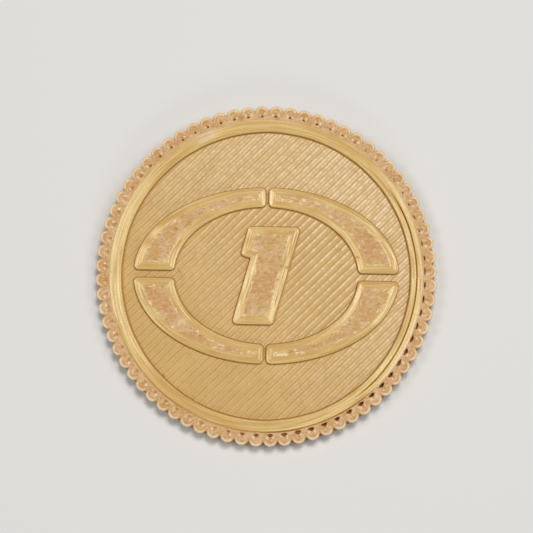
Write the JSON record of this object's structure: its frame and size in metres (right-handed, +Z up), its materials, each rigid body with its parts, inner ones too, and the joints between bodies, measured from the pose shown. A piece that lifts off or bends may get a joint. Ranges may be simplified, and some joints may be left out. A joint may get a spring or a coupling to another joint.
{
  "type": "dealer button",
  "caption": "Round flat token with a toothed edge, a raised rim, a raised quartered oval and a raised numeral one, used to mark the dealer or first player.",
  "frame": {"origin": "centre of the underside, on the table", "axes": "+Z up out of the face that carries the numeral; +Y towards the top of the numeral; +X to its right"},
  "size_m": [0.0444, 0.0444, 0.004],
  "materials": {
    "field": "silk gold printed plastic, diagonal raster lines",
    "relief": "silk gold printed plastic, contour lines with a rough middle",
    "edge": "silk gold printed plastic, wavy walls with layer lines",
    "underside": "silk gold printed plastic, flattened first layer",
    "infill": "printed plastic, hidden"
  },
  "bodies": {
    "root": {"bottom_skin": "underside", "edge_band": "edge", "infill_grid": "infill", "top_skin": "field", "toothed_rim": "edge", "rim_ring": "relief", "oval_upper_left": "relief", "oval_upper_right": "relief", "oval_lower_left": "relief", "oval_lower_right": "relief", "numeral_one": "relief"}
  },
  "joints": []
}
